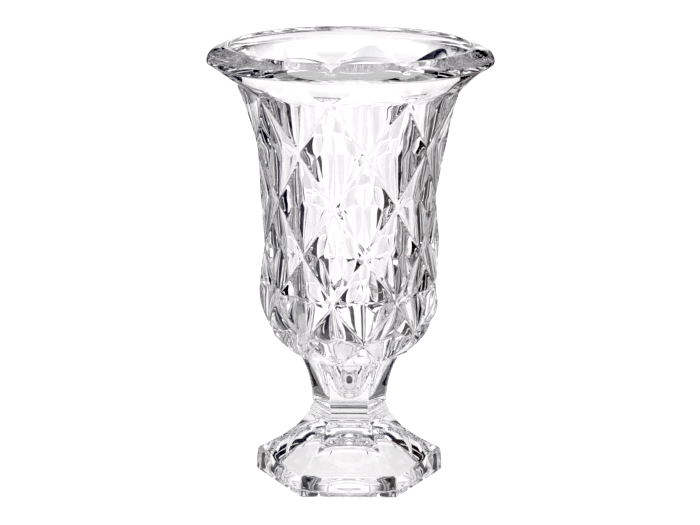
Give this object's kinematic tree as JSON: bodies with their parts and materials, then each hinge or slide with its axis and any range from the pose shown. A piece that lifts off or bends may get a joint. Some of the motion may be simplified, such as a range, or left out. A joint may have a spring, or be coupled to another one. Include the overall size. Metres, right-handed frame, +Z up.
{
  "type": "footed vase",
  "caption": "Tall clear cut crystal vase: flared round bowl with recessed diamond facets and a rolled lip, on a six-sided stem and foot.",
  "frame": {"origin": "centre of the underside of the foot, on the vase's axis and on the plane it stands on", "axes": "+Z up along the vase's axis; +X through a corner of the six-sided foot; +Y across two of its flats"},
  "size_m": [0.1952, 0.1952, 0.305],
  "materials": {
    "bowl_crystal": "clear colourless pressed crystal, fire polished, facets with narrow polished ridges",
    "foot_crystal": "clear colourless pressed crystal, fire polished, edges slightly rounded"
  },
  "bodies": {
    "root": {"bowl": "bowl_crystal", "foot": "foot_crystal"}
  },
  "joints": []
}
